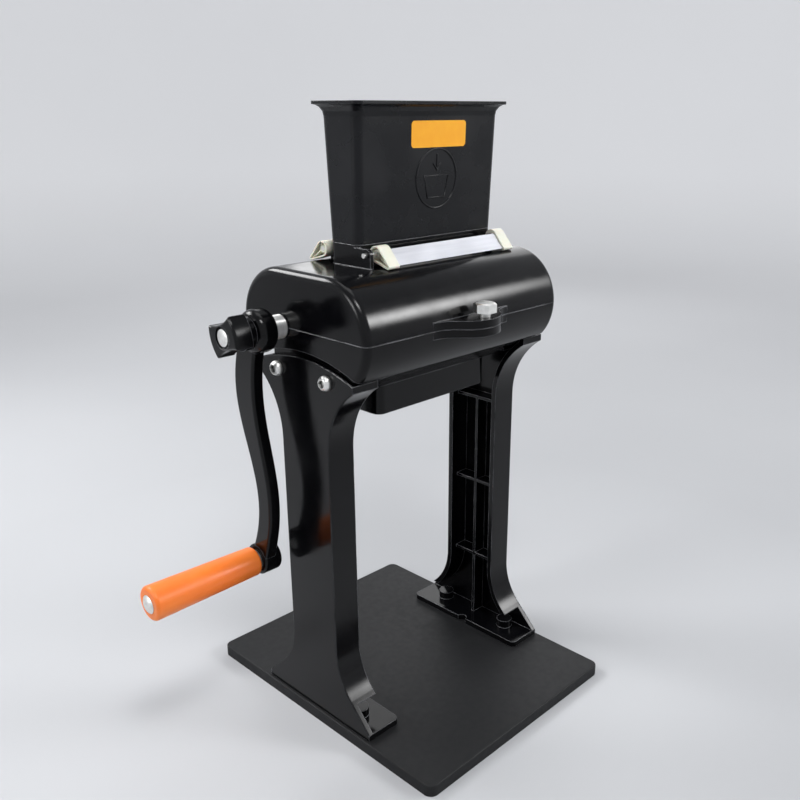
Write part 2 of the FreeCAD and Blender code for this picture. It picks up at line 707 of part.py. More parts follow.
def make_lower_housing():
    body = new_body("lower_housing")
    arch = f"(({BELLY}^2 + end_arch^2) / (2 * end_arch))"
    shell = Drawing(body, "barrel_bottom", "YZ_Plane")
    shell.path(
        ("-" + HALF_DEPTH, "0"), ("-" + BELLY, "-belly_drop", "housing_round"),
        (BELLY, "-belly_drop", "-" + arch), (HALF_DEPTH, "0", "housing_round"))
    shell.pad("housing_length", centred=True)
    round_housing_ends(body)

    inside_top = "(-belly_drop + end_arch + merge_depth)"
    funnel = Drawing(body, "funnel", "YZ_Plane")
    funnel.path(
        ("-chute_depth / 2", "-funnel_drop"), ("chute_depth / 2", "-funnel_drop"),
        (BELLY, "-belly_drop"), (f"{BELLY} - housing_wall", inside_top),
        (f"-{BELLY} + housing_wall", inside_top), ("-" + BELLY, "-belly_drop"))
    funnel.pad(f"2 * {BLOCK_FACE}", centred=True)
    chute = Drawing(body, "chute", "XY_Plane", "-chute_drop")
    chute.rounded_box(f"feed_offset - {CHUTE_HALF}", "-chute_depth / 2",
                      f"feed_offset + {CHUTE_HALF}", "chute_depth / 2", "chute_corner")
    chute.pad("chute_drop - funnel_drop + housing_wall / 2")
    mouth = -value("chute_drop")
    round_edges(body, "chute_mouth_edge", "chute_edge",
                lambda edge: near(edge.BoundBox.ZMin, mouth) and near(edge.BoundBox.ZMax, mouth))

    rim_y = f"({ARC_CENTRE} + sqrt({INNER_ROUND}^2 - lower_rim^2))"
    ends = Drawing(body, "end_cavity", "YZ_Plane")
    ends.path(
        ("-" + INNER_HALF, "0"), ("-" + rim_y, "-lower_rim", INNER_ROUND),
        (rim_y, "-lower_rim"), (INNER_HALF, "0", INNER_ROUND))
    ends.pocket("housing_length - 2 * housing_wall", centred=True)
    shoulder = "(belly_drop - housing_wall / 2)"
    shoulder_y = f"({ARC_CENTRE} + sqrt({INNER_ROUND}^2 - {shoulder}^2))"
    trough = "(chute_depth / 2 - housing_wall)"
    inside = (
        ("-" + INNER_HALF, "0"), ("-" + shoulder_y, "-" + shoulder, INNER_ROUND),
        ("-" + trough, "-funnel_drop + housing_wall"), (trough, "-funnel_drop + housing_wall"),
        (shoulder_y, "-" + shoulder), (INNER_HALF, "0", INNER_ROUND))
    cavity = Drawing(body, "roller_cavity", "YZ_Plane")
    cavity.path(*inside)
    cavity.pocket(f"2 * {FUNNEL_END}", centred=True)
    outlet = Drawing(body, "outlet", "XY_Plane", "-chute_drop")
    outlet.rounded_box(f"feed_offset - {CHUTE_HALF} + housing_wall", "-" + trough,
                       f"feed_offset + {CHUTE_HALF} - housing_wall", trough,
                       "chute_corner - housing_wall")
    outlet.pocket("chute_drop - funnel_drop + housing_wall * 2", reverse=True)

    for name, start in (("crank_end", f"-{BLOCK_FACE} - bearing_block"), ("far_end", BLOCK_FACE)):
        block = Drawing(body, f"lower_{name}_block", "YZ_Plane", start)
        block.box("-block_half_width", "-lower_rim - merge_depth", "block_half_width", "0")
        block.pad("bearing_block")
    wall = Drawing(body, "lower_partition", "YZ_Plane", PARTITION_LEFT)
    wall.path(*inside)
    wall.pad("partition")
    mount_face = f"({LEG_FACE} - leg_web)"
    for name, start in (("left", "-" + mount_face), ("right", BLOCK_FACE)):
        mount = Drawing(body, name + "_mount_block", "YZ_Plane", start)
        mount.box("-mount_block_depth / 2", "-mount_block_drop", "mount_block_depth / 2",
                  inside_top)
        mount.pad(f"{mount_face} - {BLOCK_FACE}")
    for name, start, inward in (("left", "-" + LEG_FACE, True), ("right", LEG_FACE, False)):
        taps = Drawing(body, name + "_mount_taps", "YZ_Plane", start)
        for side in ("-", ""):
            taps.circle(f"{side}bolt_spacing / 2", "-bolt_drop", "bolt_radius")
        taps.pocket("bolt_length + drill_gap", reverse=inward)

    shaft_bores(body, BUSH_RADIUS)
    lug_path(Drawing(body, "lower_lug", "XY_Plane", "-lug_thickness")).pad("lug_thickness")
    tap = Drawing(body, "lug_tap", "XY_Plane", "-lug_thickness")
    tap.circle("0", SCREW_Y, "screw_radius + screw_clearance")
    tap.pocket("lug_thickness", reverse=True)
    outer = "(knuckle_length / 2 + knuckle_gap)"
    starts = []
    for middle in ("-hinge_spacing / 2", "hinge_spacing / 2"):
        starts += [f"{middle} - {outer} - knuckle_length", f"{middle} + {outer}"]
    hinge_knuckles(body, starts, upward=False)
    pin_hole = Drawing(body, "lower_pin_hole", "YZ_Plane")
    pin_hole.circle(HINGE_Y, "0", "hinge_pin_radius")
    pin_hole.pocket("housing_length", centred=True)
    grooves = Drawing(body, "comb_grooves", "XY_Plane")
    slot = "(comb_thickness / 2 + comb_fit)"
    depth = "(comb_tongue + comb_fit)"
    for side in ("-", ""):
        middle = f"{side}{COMB_Y}"
        grooves.box(f"{PARTITION_RIGHT} - {depth}", f"{middle} - {slot}", PARTITION_RIGHT,
                    f"{middle} + {slot}")
        grooves.box(FUNNEL_END, f"{middle} - {slot}", f"{FUNNEL_END} + {depth}",
                    f"{middle} + {slot}")
    grooves.pocket("comb_bottom")
    place(body, z="parting_height")


def make_top_cover():
    body = new_body("top_cover")
    shell = Drawing(body, "barrel_top", "YZ_Plane")
    shell.path(
        (HALF_DEPTH, "0"), (ARC_CENTRE, "housing_round", "housing_round"),
        ("-" + ARC_CENTRE, "housing_round"), ("-" + HALF_DEPTH, "0", "housing_round"))
    shell.pad("housing_length", centred=True)
    round_housing_ends(body)
    cavity = Drawing(body, "cover_cavity", "YZ_Plane")
    inner_outline = ((INNER_HALF, "0"), (ARC_CENTRE, INNER_ROUND, INNER_ROUND),
                     ("-" + ARC_CENTRE, INNER_ROUND), ("-" + INNER_HALF, "0", INNER_ROUND))
    cavity.path(*inner_outline)
    cavity.pocket("housing_length - 2 * housing_wall", centred=True)
    wall = Drawing(body, "upper_partition", "YZ_Plane", PARTITION_LEFT)
    wall.path(*inner_outline)
    wall.pad("partition")
    for name, start in (("crank_end", f"-{BLOCK_FACE} - bearing_block"), ("far_end", BLOCK_FACE)):
        cap = Drawing(body, f"upper_{name}_cap", "YZ_Plane", start)
        cap.box("-block_half_width", "0", "block_half_width", "bearing_cap")
        cap.pad("bearing_block")
    shaft_bores(body, f"{BUSH_RADIUS} + hole_clearance")

    half = "(hopper_length / 2)"
    across = "(hopper_depth / 2)"
    collar = Drawing(body, "hopper_collar", "XY_Plane", "housing_round - housing_wall / 2")
    collar.rounded_box(f"feed_offset - {half}", "-" + across, f"feed_offset + {half}", across,
                       "hopper_corner")
    collar.pad("collar_height + housing_wall / 2")
    for side, start in (("-", f"feed_offset - {half}"),
                        ("", f"feed_offset + {half} - ear_thickness")):
        ear = Drawing(body, f"{'rear' if side == '' else 'front'}_ear", "YZ_Plane", start)
        ear.path(
            (f"{side}({across} - hopper_corner)", EAR_FOOT),
            (f"{side}(rod_offset + ear_round)", EAR_FOOT),
            (f"{side}(rod_offset + ear_round)", "rod_height"),
            (f"{side}rod_offset", "rod_height + ear_round", side + "ear_round"),
            (f"{side}({across} - hopper_corner)", "rod_height + ear_round"))
        ear.pad("ear_thickness")
    for name, side, start in (("front", "-", POST_FRONT), ("rear", "", POST_REAR)):
        post = Drawing(body, name + "_post", "YZ_Plane", start)
        left = f"({side}rod_offset - {POST_ROUND})"
        right = f"({side}rod_offset + {POST_ROUND})"
        post.path((left, EAR_FOOT), (right, EAR_FOOT), (right, "rod_height"),
                  (left, "rod_height", POST_ROUND))
        post.pad("ear_thickness")
    rods = Drawing(body, "rod_holes", "YZ_Plane")
    for side in ("-", ""):
        rods.circle(f"{side}rod_offset", "rod_height", "rod_radius")
    rods.pocket("housing_length", centred=True)
    socket = Drawing(body, "hopper_socket", "XY_Plane", "housing_round + collar_height")
    socket.rounded_box(f"feed_offset - {half} + collar_wall", f"-{across} + collar_wall",
                       f"feed_offset + {half} - collar_wall", f"{across} - collar_wall",
                       "hopper_corner - collar_wall")
    socket.pocket("spigot_depth + spigot_clearance")
    throat = Drawing(body, "throat", "XY_Plane", "housing_round + collar_height")
    throat.rounded_box("feed_offset - throat_length / 2", "-throat_depth / 2",
                       "feed_offset + throat_length / 2", "throat_depth / 2",
                       "hopper_corner - collar_wall")
    throat.pocket("collar_height + housing_wall + cut_margin")

    lug_path(Drawing(body, "upper_lug", "XY_Plane")).pad("lug_thickness")
    hole = Drawing(body, "lug_hole", "XY_Plane")
    hole.circle("0", SCREW_Y, "screw_radius + screw_clearance")
    hole.pocket("lug_thickness", reverse=True)
    starts = [f"{middle} - knuckle_length / 2"
              for middle in ("-hinge_spacing / 2", "hinge_spacing / 2")]
    hinge_knuckles(body, starts, upward=True)
    pin_hole = Drawing(body, "upper_pin_hole", "YZ_Plane")
    pin_hole.circle(HINGE_Y, "0", "hinge_pin_radius + pin_clearance")
    pin_hole.pocket("housing_length", centred=True)
    place(body, z="parting_height")


def make_hinge_pins():
    pin = new_body("hinge_pin", keep=False)
    half = "(1.5 * knuckle_length + knuckle_gap)"
    profile = Drawing(pin, "hinge_pin_profile", "XZ_Plane")
    profile.path(
        (f"-{half} - hinge_pin_tip", "0"), (f"{half} + hinge_pin_tip", "0"),
        (f"{half} + hinge_pin_tip", "hinge_pin_radius - hinge_pin_tip"),
        (half, "hinge_pin_radius"), ("-" + half, "hinge_pin_radius"),
        (f"-{half} - hinge_pin_tip", "hinge_pin_radius - hinge_pin_tip"))
    profile.revolve()
    spots = [Placement(Vector(side * value("hinge_spacing / 2"), 0, 0), Rotation())
             for side in (-1, 1)]
    place(group("hinge_pins", pin, spots), y=HINGE_Y, z="parting_height")


def make_lock_screw():
    body = new_body("lock_screw")
    top = "(lug_thickness + screw_stand)"
    head = Drawing(body, "lock_screw_head", "XY_Plane", top)
    head.path(*hexagon_points("screw_head_flat / 2")).pad("screw_head_height")
    crown = Drawing(body, "lock_screw_crown", "XZ_Plane")
    outside = "(screw_head_flat / 2 / cos(30) + cut_margin)"
    inside = "(screw_head_flat / 2 - cut_margin)"
    crest = f"({top} + screw_head_height)"
    crown.path(
        (outside, f"{crest} - screw_chamfer"), (outside, f"{crest} + cut_margin"),
        (inside, f"{crest} + cut_margin"), (inside, crest))
    groove = body.newObject("PartDesign::Groove", "lock_screw_chamfer")
    groove.Profile = crown.sketch
    groove.ReferenceAxis = (crown.sketch, ["V_Axis"])
    groove.Angle = 360
    shank = Drawing(body, "lock_screw_shank", "XY_Plane", "-screw_tip")
    shank.circle("0", "0", "screw_radius")
    shank.pad(f"{top} + screw_tip")
    place(body, y=SCREW_Y, z="parting_height")


# ---------------------------------------------------------------- hopper

def rounded_wire(half_length, half_depth, corner, height, offset):
    """Closed wire of a rectangle with round corners, about the middle of the feed."""
    centre_x = half_length - corner
    centre_y = half_depth - corner
    edges = []
    previous = None
    for quarter, (sign_x, sign_y) in enumerate(((1, 1), (-1, 1), (-1, -1), (1, -1))):
        centre = Vector(offset + sign_x * centre_x, sign_y * centre_y, height)
        points = [centre + turned_about_z(90 * (quarter + share)).multVec(Vector(corner, 0, 0))
                  for share in (0, 0.5, 1)]
        if previous:
            edges.append(Part.makeLine(previous, points[0]))
        edges.append(Part.Arc(*points).toShape())
        previous = points[2]
    edges.append(Part.makeLine(previous, edges[0].Vertexes[0].Point))
    return Part.Wire(edges)


def make_hopper():
    """Tapered feed hopper with a flared rim and a spigot that drops into the collar."""
    offset = value("feed_offset")
    wall = value("hopper_wall")
    corner = value("hopper_corner")
    wall_height = value("hopper_height - flare_height")
    flare = value("flare_height - rim_lip")
    lip = value("rim_lip")
    bottom = (value("hopper_length / 2"), value("hopper_depth / 2"))
    top = (value("hopper_top_length / 2"), value("hopper_top_depth / 2"))
    spread = (value("rim_length / 2") - top[0], value("rim_depth / 2") - top[1])

    def section(size, height, inward):
        rounding = max(corner - inward, wall / 4)
        return rounded_wire(size[0] - inward, size[1] - inward, rounding, height, offset)

    outer = [section(bottom, 0, 0), section(top, wall_height, 0)]
    inner = [section(bottom, wall, wall), section(top, wall_height, wall)]
    flare_turns = (25, 50, 70, 88)
    for turn in flare_turns:
        share = 1 - math.cos(math.radians(turn))
        rise = math.sin(math.radians(turn))
        size = (top[0] + spread[0] * share, top[1] + spread[1] * share)
        outer.append(section(size, wall_height + flare * rise, 0))
        inner.append(section(size, wall_height + (flare + lip) * rise, wall))
    outer.append(section(size, wall_height + flare + lip, 0))
    over = value("cut_margin")
    inner.append(section(size, wall_height + flare + lip + over, wall))
    depth = value("spigot_depth")
    inset = value("collar_wall + spigot_clearance")
    spigot = Part.Face(section(bottom, -depth, inset)).extrude(Vector(0, 0, depth + wall / 2))
    bore = Part.Face(section(bottom, -depth - over, inset + wall))
    bore = bore.extrude(Vector(0, 0, depth + 2 * wall + over))
    shape = Part.makeLoft(outer, True, True).fuse(spigot)
    shape = shape.cut(Part.makeLoft(inner, True, True)).cut(bore)
    node = coded("hopper", shape.removeSplitter())
    place(node, z="parting_height + housing_round + collar_height")


# ---------------------------------------------------------------- latches

LATCH_LEAN = "((latch_head - latch_tip) / latch_reach)"
LATCH_RISE = f"sqrt(1 - {LATCH_LEAN}^2)"


def make_latch_rod(label, side, start):
    """Rod from the outer ear at one end of the collar to the latch end at the other."""
    body = new_body(label)
    Drawing(body, label + "_section", "YZ_Plane").circle("0", "0", "rod_radius").pad(
        f"{HALF_HOPPER} + rod_overhang + {ROD_REACH}")
    place(body, start, f"{side}rod_offset", "parting_height + rod_height")


def drop_outline(drawing, skin):
    """Outline of a latch end: a round head and a small round tip joined by two tangents."""
    head = f"(latch_head - {skin})"
    tip = f"(latch_tip - {skin})"
    return drawing.path(
        (f"latch_reach + {tip} * {LATCH_LEAN}", f"-{tip} * {LATCH_RISE}"),
        (f"latch_reach + {tip} * {LATCH_LEAN}", f"{tip} * {LATCH_RISE}", tip),
        (f"{head} * {LATCH_LEAN}", f"{head} * {LATCH_RISE}"),
        (f"-{head}", "0", head), (f"{head} * {LATCH_LEAN}", f"-{head} * {LATCH_RISE}", head))


def plate_outline(drawing, side):
    """Section of the latch plate, which lies against the upper skin of the ends."""
    skin = "latch_skin"
    under = "(latch_skin + latch_plate_thickness)"
    corners = (("0", "latch_head", skin), ("latch_reach", "latch_tip", skin),
               ("latch_reach", "latch_tip", under), ("0", "latch_head", under))
    points = [(f"{start} + ({radius} - {depth}) * {LATCH_LEAN}",
               f"{side}({radius} - {depth}) * {LATCH_RISE}") for start, radius, depth in corners]
    return drawing.path(*points)


def make_latch(name, side, angle):
    """Swinging latch: a steel plate held between two hollow plastic ends on a rod."""
    middle = "feed_offset + latch_offset" if side else "feed_offset - latch_offset"
    height = "parting_height + rod_height"
    plate = new_body(name + "_latch_plate")
    section = plate_outline(Drawing(plate, name + "_plate_section", "YZ_Plane"), side)
    section.pad(f"2 * ({LATCH_HALF} - latch_end_length + latch_end_web)", centred=True)
    place(plate, middle, side + "rod_offset", height, Vector(1, 0, 0), angle)

    end = new_body(name + "_latch_end", keep=False)

    def drawing(part, offset="0"):
        return Drawing(end, f"{name}_end_{part}", "YZ_Plane", offset)

    drop_outline(drawing("drop"), "0").pad("latch_end_length")
    hollow_depth = "latch_end_length - latch_end_web"
    drop_outline(drawing("hollow"), "latch_skin").pocket(hollow_depth, reverse=True)
    rib_length = f"{hollow_depth} - latch_end_recess + latch_end_web / 2"
    hub = drawing("hub", "latch_end_recess")
    hub.circle("0", "0", "rod_radius + latch_skin").pad(rib_length)
    reach = "(latch_head - latch_skin / 2)"
    along = drawing("long_rib", "latch_end_recess")
    along.box("-" + reach, "-latch_rib / 2", "latch_reach", "latch_rib / 2").pad(rib_length)
    cross = drawing("cross_rib", "latch_end_recess")
    cross.box("-latch_rib / 2", "-" + reach, "latch_rib / 2", reach).pad(rib_length)
    slot = drawing("slot", hollow_depth)
    plate_outline(slot, side).pocket("latch_end_web", reverse=True)
    eye = drawing("eye")
    eye.circle("0", "0", "rod_radius + pin_clearance").pocket("latch_end_length", reverse=True)
    doc.recompute()
    left = end.Shape.copy()
    left.translate(Vector(-value(LATCH_HALF), 0, 0))
    right = left.mirror(Vector(), Vector(1, 0, 0))
    ends = coded(name + "_latch_ends", Part.makeCompound([left, right]))
    place(ends, middle, side + "rod_offset", height, Vector(1, 0, 0), angle)


# ---------------------------------------------------------------- shafts and rollers

HEX_LEFT = f"({PARTITION_RIGHT} + 2 * spacer_end_gap)"
HEX_RIGHT = f"({BLOCK_FACE} - 2 * spacer_end_gap)"
SHAFT_END = f"({BLIND_END} - shaft_end_gap)"
HUB_INNER = "(housing_length / 2 + collar_gap + collar_length)"
HUB_OUTER = f"({HUB_INNER} + crank_hub_length)"
GRIP_INNER = f"({HUB_INNER} + crank_end_length + grip_washer + grip_end_gap)"


def tube(start, length, across, outer, inner):
    """Ring along X from a start, at a distance across from the middle."""
    origin = Vector(start, across, 0)
    along = Vector(1, 0, 0)
    return Part.makeCylinder(outer, length, origin, along).cut(
        Part.makeCylinder(inner, length, origin, along))


def make_shaft(label, reach, across):
    body = new_body(label)
    round_bar = Drawing(body, label + "_round", "YZ_Plane", "-" + reach)
    round_bar.circle("0", "0", "shaft_radius").pad(f"{reach} + {SHAFT_END}")
    hexagon = Drawing(body, label + "_hexagon", "YZ_Plane", HEX_LEFT)
    hexagon.path(*hexagon_points("hex_flat / 2")).pad(f"{HEX_RIGHT} - {HEX_LEFT}")
    place(body, y=across, z="parting_height")


def make_shaft_bushes():
    tubes = []
    for _, start, length, places in BEARINGS:
        for across in places:
            tubes.append(tube(value(start), value(length), value(across), value(BUSH_RADIUS),
                              value("shaft_radius + running_clearance")))
    place(coded("shaft_bushes", Part.makeCompound(tubes)), z="parting_height")


def make_blade():
    """Star blade with a hexagon hole, the same on both rollers."""
    blade = new_body("blade", keep=False)
    star = Drawing(blade, "blade_star", "YZ_Plane")
    points = []
    for step in range(2 * int(value("blade_teeth"))):
        radius = "blade_root" if step % 2 else "blade_radius"
        turn = f"({step} * 180 / blade_teeth)"
        points.append((f"{radius} * cos({turn})", f"{radius} * sin({turn})"))
    star.path(*points).pad("blade_thickness", centred=True)
    hole = Drawing(blade, "blade_hole", "YZ_Plane")
    hole.path(*hexagon_points("hex_flat / 2 + running_clearance"))
    hole.pocket("blade_thickness", centred=True)
    return blade


def blade_centres(count):
    middle = value("feed_offset")
    pitch = value(BLADE_PITCH)
    return [middle + (number - (count - 1) / 2) * pitch for number in range(count)]


def make_roller(name, blade, count, across):
    """Blades and spacers threaded on one shaft, each blade one flat further round."""
    centres = blade_centres(count)
    spots = [Placement(Vector(centre, 0, 0), Rotation(Vector(1, 0, 0), 60 * number))
             for number, centre in enumerate(centres)]
    place(group(name + "_blades", blade, spots), y=across, z="parting_height")
    half = value("blade_thickness / 2")
    stops = [value(f"{PARTITION_RIGHT} + spacer_end_gap")]
    for centre in centres:
        stops += [centre - half, centre + half]
    stops.append(value(f"{BLOCK_FACE} - spacer_end_gap"))
    spacers = [tube(start, end - start, 0, value("spacer_radius"), value("spacer_bore"))
               for start, end in zip(stops[::2], stops[1::2])]
    place(coded(name + "_spacers", Part.makeCompound(spacers)), y=across, z="parting_height")


def gear_outline():
    """Involute teeth with thinned flanks, as points round the gear's axis."""
    module = value("gear_module")
    teeth = int(value("gear_teeth"))
    pitch_radius = module * teeth / 2
    pressure = math.radians(20)
    base = pitch_radius * math.cos(pressure)
    tip = pitch_radius + module
    root = pitch_radius - 1.25 * module

    def involute(angle):
        return math.tan(angle) - angle

    width = math.pi * module / 2 - value("gear_backlash") / 2
    flank = []
    for share in (0, 0.3, 0.6, 0.8, 1):
        radius = base + (tip - base) * share
        spread = width / 2 / pitch_radius + involute(pressure) - involute(math.acos(base / radius))
        flank.append((radius, spread))
    flank.insert(0, (root, flank[0][1]))
    points = []
    for tooth in range(teeth):
        middle = 2 * math.pi * tooth / teeth
        rising = [(radius, middle - spread) for radius, spread in flank]
        falling = [(radius, middle + spread) for radius, spread in reversed(flank)]
        points += [Vector(0, radius * math.cos(angle), radius * math.sin(angle))
                   for radius, angle in rising + falling]
    return points


def make_gear(label, across, turn):
    points = gear_outline()
    width = value("gear_width")
    along = Vector(1, 0, 0)
    rim = Part.Face(Part.makePolygon(points + points[:1])).extrude(along * width)
    length = width + value("gear_hub_length")
    hub = Part.makeCylinder(value("gear_hub_radius"), length, Vector(), along)
    bore = Part.makeCylinder(value("shaft_radius + running_clearance"), length, Vector(), along)
    node = coded(label, rim.fuse(hub).cut(bore))
    place(node, f"-{FUNNEL_END} + gear_gap", across, "parting_height", along, turn)


def make_comb(label, side, count):
    """Slotted plate between the rollers: its fingers strip one roller's spacers."""
    body = new_body(label)
    left = f"({PARTITION_RIGHT} + comb_end_gap)"
    right = f"({FUNNEL_END} - comb_end_gap)"
    far_left = f"({PARTITION_RIGHT} - comb_tongue)"
    far_right = f"({FUNNEL_END} + comb_tongue)"
    plate = Drawing(body, label + "_plate", "XZ_Plane")
    plate.path(
        (right, "comb_top"), (left, "comb_top"), (left, "-comb_tongue_drop"),
        (far_left, "-comb_tongue_drop"), (far_left, "-comb_bottom"),
        (far_right, "-comb_bottom"), (far_right, "-comb_tongue_drop"),
        (right, "-comb_tongue_drop"))
    plate.pad("comb_thickness", centred=True)
    slots = Drawing(body, label + "_slots", "XZ_Plane")
    for number in range(count):
        centre = f"(feed_offset + ({number} - {(count - 1) / 2}) * {BLADE_PITCH})"
        slots.box(f"{centre} - comb_slot / 2", "-comb_bottom - cut_margin",
                  f"{centre} + comb_slot / 2", "comb_top - comb_bar")
    slots.pocket("comb_thickness + cut_margin", centred=True)
    place(body, y=side + COMB_Y, z="parting_height")


# ---------------------------------------------------------------- crank

def make_shaft_collar():
    body = new_body("shaft_collar")
    profile = Drawing(body, "collar_profile", "XZ_Plane")
    bore = "shaft_radius + running_clearance"
    profile.path(
        ("0", bore), ("0", "collar_radius - collar_chamfer"),
        ("-collar_chamfer", "collar_radius"), ("-collar_length + collar_chamfer", "collar_radius"),
        ("-collar_length", "collar_radius - collar_chamfer"), ("-collar_length", bore))
    profile.revolve()
    place(body, f"-{HALF_LENGTH} - collar_gap", DRIVE_Y, "parting_height")


def crank_slab():
    """Flat S-shaped arm between hub and end boss, as a slab with soft edges."""
    length = value("crank_length")
    near_edge = []
    far_edge = []
    stations = 12
    for number in range(stations + 1):
        share = number / stations
        swing = math.cos(math.pi * (share - value("crank_bow_start")) / value("crank_bow_span"))
        middle = value("crank_bow") * swing
        half_width = (value("crank_width") + value("crank_width_change") * swing) / 2
        near_edge.append(Vector(0, middle - half_width, -length * share))
        far_edge.append(Vector(0, middle + half_width, -length * share))
    curves = []
    for points in (near_edge, far_edge):
        curve = Part.BSplineCurve()
        curve.interpolate(points)
        curves.append(curve.toShape())
    closing = [Part.makeLine(near_edge[0], far_edge[0]), Part.makeLine(near_edge[-1], far_edge[-1])]
    wire = Part.Wire(Part.__sortEdges__(curves + closing))
    slab = Part.Face(wire).extrude(Vector(value("crank_thickness"), 0, 0))
    long_edges = [edge for edge in slab.Edges
                  if edge.BoundBox.ZLength > length / 2 and edge.BoundBox.XLength < 1]
    return slab.makeFillet(value("crank_edge"), long_edges)


def make_crank_arm():
    outward = Vector(-1, 0, 0)
    slab = crank_slab()
    slab.translate(Vector(-value(f"{HUB_INNER} + crank_end_length - crank_inset"), 0, 0))
    hub_start = Vector(-value(HUB_INNER), 0, 0)
    hub = Part.makeCylinder(value("crank_hub_radius"), value("crank_hub_length"), hub_start, outward)
    hub = hub.makeFillet(value("crank_hub_round"), rim_edges(hub))
    boss_start = hub_start - Vector(0, 0, value("crank_length"))
    boss = Part.makeCylinder(value("crank_end_radius"), value("crank_end_length"), boss_start, outward)
    boss = boss.makeFillet(value("crank_edge"), rim_edges(boss))
    arm = hub.fuse([slab, boss])
    shaft_hole = Part.makeCylinder(value("shaft_radius + running_clearance"),
                                   value("crank_hub_length"), hub_start, outward)
    spindle_hole = Part.makeCylinder(value("spindle_radius + running_clearance"),
                                     value("crank_end_length"), boss_start, outward)
    node = coded("crank_arm", arm.cut([shaft_hole, spindle_hole]))
    place(node, "0", DRIVE_Y, "parting_height", Vector(1, 0, 0), "crank_angle")


def rim_edges(cylinder):
    """The two round edges of a plain cylinder along X."""
    return [edge for edge in cylinder.Edges if near(edge.BoundBox.XLength, 0)]


def make_crank_knob():
    body = new_body("crank_knob")
    neck = Drawing(body, "knob_neck", "YZ_Plane", "-knob_neck_length")
    neck.circle("0", "0", "knob_neck_radius").pad("knob_neck_length")
    shoulder = "(knob_half_width - knob_bow)"
    end_round = "((knob_end_half^2 + knob_bow^2) / (2 * knob_bow))"
    sag = "(knob_end_half - knob_waist_half)"
    waist_round = f"(({shoulder}^2 + {sag}^2) / (2 * {sag}))"
    head = Drawing(body, "knob_head", "YZ_Plane", "-knob_neck_length - knob_head_length")
    head.path(
        (shoulder, "knob_end_half", end_round),
        ("-" + shoulder, "knob_end_half", "-" + waist_round),
        ("-" + shoulder, "-knob_end_half", end_round),
        (shoulder, "-knob_end_half", "-" + waist_round))
    head.pad("knob_head_length")
    outer = -value("knob_neck_length + knob_head_length")
    round_edges(body, "knob_edges", "crank_edge",
                lambda edge: near(edge.BoundBox.XMin, outer) and near(edge.BoundBox.XMax, outer))
    bore = Drawing(body, "knob_bore", "YZ_Plane")
    bore.circle("0", "0", "stud_radius + running_clearance")
    bore.pocket("knob_neck_length + knob_head_length")
    recess = Drawing(body, "knob_end_recess", "YZ_Plane", "-knob_neck_length - knob_head_length")
    recess.circle("0", "0", "knob_recess_radius")
    recess.pocket("knob_recess", reverse=True)
    place(body, "-" + HUB_OUTER, DRIVE_Y, "parting_height", Vector(1, 0, 0), "-knob_angle")


def make_knob_stud():
    body = new_body("knob_stud")
    profile = Drawing(body, "stud_profile", "XZ_Plane")
    dome = "((stud_radius^2 + stud_dome^2) / (2 * stud_dome))"
    profile.path(
        ("0", "0"), ("0", "stud_radius"), ("-stud_length + stud_dome", "stud_radius"),
        ("-stud_length", "0", dome))
    profile.revolve()
    place(body, f"-{HUB_OUTER} + shaft_recess", DRIVE_Y, "parting_height")


GRIP_Y = f"({DRIVE_Y} + crank_length * sin(crank_angle))"
GRIP_Z = "(parting_height - crank_length * cos(crank_angle))"


def make_grip_spindle():
    """Bolt on which the grip turns, with a domed head at the outer end."""
    body = new_body("grip_spindle")
    span = ("(crank_end_length + grip_washer + grip_length + 2 * grip_end_gap + spindle_stand)")
    dome = "((spindle_head_radius^2 + spindle_head_height^2) / (2 * spindle_head_height))"
    profile = Drawing(body, "spindle_profile", "XZ_Plane")
    profile.path(
        ("0", "0"), ("0", "spindle_radius"), (f"-{span}", "spindle_radius"),
        (f"-{span}", "spindle_head_radius"), (f"-{span} - spindle_head_height", "0", dome))
    profile.revolve()
    place(body, f"-{HUB_INNER} + spindle_stand", GRIP_Y, GRIP_Z)


def make_grip():
    body = new_body("grip")
    bore = "spindle_radius + running_clearance"
    profile = Drawing(body, "grip_profile", "XZ_Plane")
    profile.path(
        ("0", bore), ("0", "grip_small_radius - grip_round"),
        ("-grip_round", "grip_small_radius", "grip_round"),
        ("-grip_length + grip_round", "grip_radius"),
        ("-grip_length", "grip_radius - grip_round", "grip_round"), ("-grip_length", bore))
    profile.revolve()
    place(body, "-" + GRIP_INNER, GRIP_Y, GRIP_Z)


def make_grip_washer():
    body = new_body("grip_washer")
    ring = Drawing(body, "washer_ring", "YZ_Plane")
    ring.circle("0", "0", "grip_washer_radius").pad("grip_washer")
    hole = Drawing(body, "washer_hole", "YZ_Plane")
    hole.circle("0", "0", "spindle_radius + running_clearance")
    hole.pocket("grip_washer", reverse=True)
    place(body, f"-{GRIP_INNER} + grip_end_gap", GRIP_Y, GRIP_Z)


# ---------------------------------------------------------------- build

make_base_plate()
make_leg("left_leg", "0")
make_leg("right_leg", "180")
make_foot_screws()
make_leg_bolts()
make_lower_housing()
make_top_cover()
make_hinge_pins()
make_lock_screw()
make_hopper()
make_latch_rod("front_latch_rod", "-", f"feed_offset - {HALF_HOPPER} - rod_overhang")
make_latch_rod("rear_latch_rod", "", f"feed_offset - {ROD_REACH}")
make_latch("front", "-", "180 + latch_angle")
make_latch("rear", "", "-latch_angle")
make_shaft("drive_shaft", f"({HUB_OUTER} - shaft_recess)", DRIVE_Y)
make_shaft("driven_shaft", SHAFT_END, DRIVEN_Y)
make_shaft_bushes()
star_blade = make_blade()
make_roller("drive", star_blade, int(value("blade_count")), DRIVE_Y)
make_roller("driven", star_blade, int(value("blade_count")) - 1, DRIVEN_Y)
make_gear("drive_gear", DRIVE_Y, "0")
make_gear("driven_gear", DRIVEN_Y, "180 / gear_teeth")
make_comb("front_comb", "-", int(value("blade_count")) - 1)
